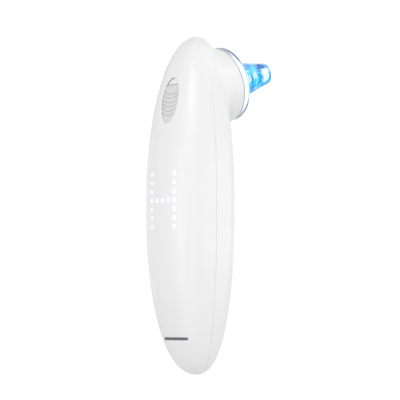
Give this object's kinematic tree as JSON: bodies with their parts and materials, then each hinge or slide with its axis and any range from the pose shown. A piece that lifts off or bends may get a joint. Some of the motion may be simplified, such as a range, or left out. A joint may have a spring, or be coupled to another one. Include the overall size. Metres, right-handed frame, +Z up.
{
  "type": "vacuum pore cleaner",
  "caption": "Handheld vacuum pore cleaner: egg-shaped two-part case, ribbed thumb slider, dot display, flared collar and a clear pull-off suction head.",
  "frame": {"origin": "the middle of the case, where a hand holds it", "axes": "+Z up along the case, -Y the front with the slider and the display, +Y the side that the suction head leaves, +X across"},
  "size_m": [0.0404, 0.0683, 0.17],
  "materials": {
    "case_white": "white satin moulded plastic with a very fine grain",
    "track_white": "white moulded plastic",
    "knob_grey": "light grey matt moulded plastic, ribbed",
    "inner_white": "plain white moulded plastic",
    "clear_head": "clear polycarbonate, lit blue from behind",
    "frosted": "frosted translucent plastic",
    "seal_grey": "thin grey rubber ring",
    "rubber_black": "black rubber",
    "wire_black": "black wire insulation",
    "wire_red": "red wire insulation",
    "foam": "open-cell foam",
    "circuit_green": "green circuit board",
    "chip_black": "black moulded plastic",
    "steel": "bright steel",
    "iron": "dark sintered iron",
    "cell_wrap": "blue shrink sleeve",
    "lamp_blue": "clear lamp body that glows blue"
  },
  "bodies": {
    "handpiece": {"front_cover": "case_white", "rear_cover": "case_white", "slider_track": "track_white", "inner_frame": "inner_white", "nozzle_seat": "inner_white", "motor_end_cap": "inner_white", "valve_plate": "inner_white", "light_guide": "frosted", "light_ring": "frosted", "collar_seal": "seal_grey", "seat_o_ring": "rubber_black", "diaphragm": "rubber_black", "air_tube": "rubber_black", "battery_lead_negative": "wire_black", "led_lead": "wire_black", "battery_lead_positive": "wire_red", "battery_pad": "foam", "motor_pad": "foam", "main_board": "circuit_green", "usb_board": "circuit_green", "led_ring_board": "circuit_green", "controller_chip": "chip_black", "display_driver_chip": "chip_black", "led_matrix": "chip_black", "pump_body": "chip_black", "pump_head": "chip_black", "usb_socket": "steel", "slide_switch": "steel", "motor_can": "steel", "board_screw_1": "steel", "board_screw_2": "steel", "board_screw_3": "steel", "board_screw_4": "steel", "pump_screw_1": "steel", "pump_screw_2": "steel", "motor_magnet": "iron", "charger_inductor": "iron", "battery": "cell_wrap", "blue_led_1": "lamp_blue", "blue_led_2": "lamp_blue", "blue_led_3": "lamp_blue", "blue_led_4": "lamp_blue"},
    "slider": {"slide_knob": "knob_grey"},
    "lever": {"switch_lever": "chip_black"},
    "head": {"suction_head": "clear_head", "filter_sponge": "foam"},
    "rotor": {"rotor_core": "iron", "motor_shaft": "steel", "eccentric": "inner_white"},
    "rod": {"pump_rod": "inner_white"}
  },
  "joints": [
    {"name": "knob_slide", "type": "slide", "parent": "handpiece", "child": "slider", "axis": [0, 0.2149, 0.9766], "range_m": [0, 0.0025]},
    {"name": "lever_slide", "type": "slide", "parent": "handpiece", "child": "lever", "axis": [0, 0, 1], "range_m": [0, 0.00245]},
    {"name": "head_pull", "type": "slide", "parent": "handpiece", "child": "head", "axis": [0, 0.9673, 0.2538], "range_m": [0, 0.012]},
    {"name": "motor_spin", "type": "hinge", "parent": "handpiece", "child": "rotor", "pos_m": [0, 0.0003, 0], "axis": [0, 0, 1], "continuous": true},
    {"name": "rod_stroke", "type": "slide", "parent": "handpiece", "child": "rod", "axis": [0, 1, 0], "range_m": [-0.0006, 0.0006], "stiffness_N_per_m": 60}
  ],
  "couplings": [
    {"joint": "lever_slide", "follows": "knob_slide", "ratio": 0.97664}
  ]
}
